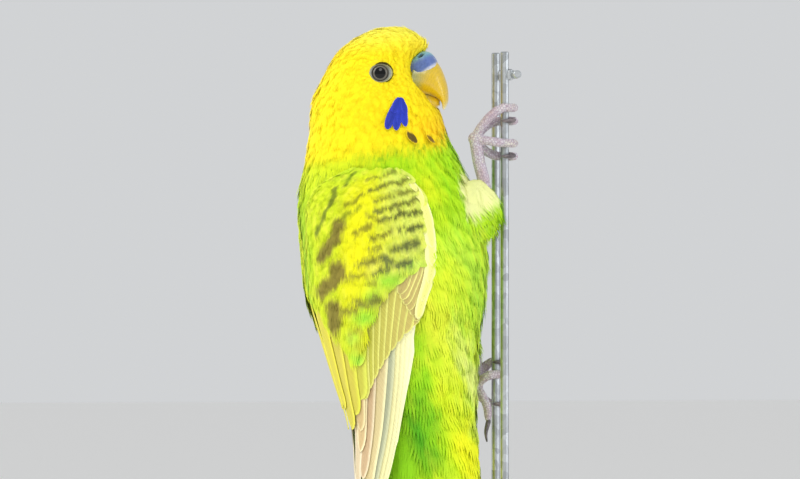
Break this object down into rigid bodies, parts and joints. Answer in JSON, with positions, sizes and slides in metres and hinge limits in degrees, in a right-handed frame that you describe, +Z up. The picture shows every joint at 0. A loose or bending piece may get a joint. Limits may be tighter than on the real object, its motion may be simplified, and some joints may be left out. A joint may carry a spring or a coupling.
{
  "type": "budgerigar model",
  "caption": "Still, life-size budgerigar with yellow face, green body and pale wings, gripping upright cage wires held by short rods on a round wooden base.",
  "frame": {"origin": "centre of the round base's underside", "axes": "+X towards the wires, which the bird faces; +Y to the bird's left; +Z up"},
  "size_m": [0.108, 0.108, 0.226],
  "materials": {
    "head_feathers": "soft lemon-yellow face and crown feathers",
    "body_feathers": "soft lime-green body feathers, yellow-green on the belly",
    "wing_feathers": "yellow wing feathers with pale olive-brown centres",
    "tail_feathers": "long yellow-green tail feathers",
    "thigh_feathers": "downy cream feathers",
    "foot_skin": "scaly pinkish-grey skin",
    "claw_horn": "dark horn, satin",
    "beak_horn": "yellow horn, glossy",
    "cere_skin": "smooth blue skin",
    "eye": "wet black eye",
    "zinc_wire": "galvanised wire",
    "steel_rod": "brushed steel rod",
    "beech_base": "oiled beech"
  },
  "bodies": {
    "root": {"beak_lower": "beak_horn", "beak_upper": "beak_horn", "cere": "cere_skin", "claw_left_1": "claw_horn", "claw_left_2": "claw_horn", "claw_left_3": "claw_horn", "claw_left_4": "claw_horn", "claw_right_1": "claw_horn", "claw_right_2": "claw_horn", "claw_right_3": "claw_horn", "claw_right_4": "claw_horn", "eye_left": "eye", "eye_right": "eye", "foot_left": "foot_skin", "foot_right": "foot_skin", "head": "head_feathers", "neck": "head_feathers", "perch_cross_wire_lower": "zinc_wire", "perch_cross_wire_upper": "zinc_wire", "perch_wire_left": "zinc_wire", "perch_wire_right": "zinc_wire", "stand_base": "beech_base", "stand_rod_left": "steel_rod", "stand_rod_right": "steel_rod", "tail": "tail_feathers", "thigh_left": "thigh_feathers", "thigh_right": "thigh_feathers", "trunk": "body_feathers", "wing_left": "wing_feathers", "wing_right": "wing_feathers"}
  },
  "joints": []
}
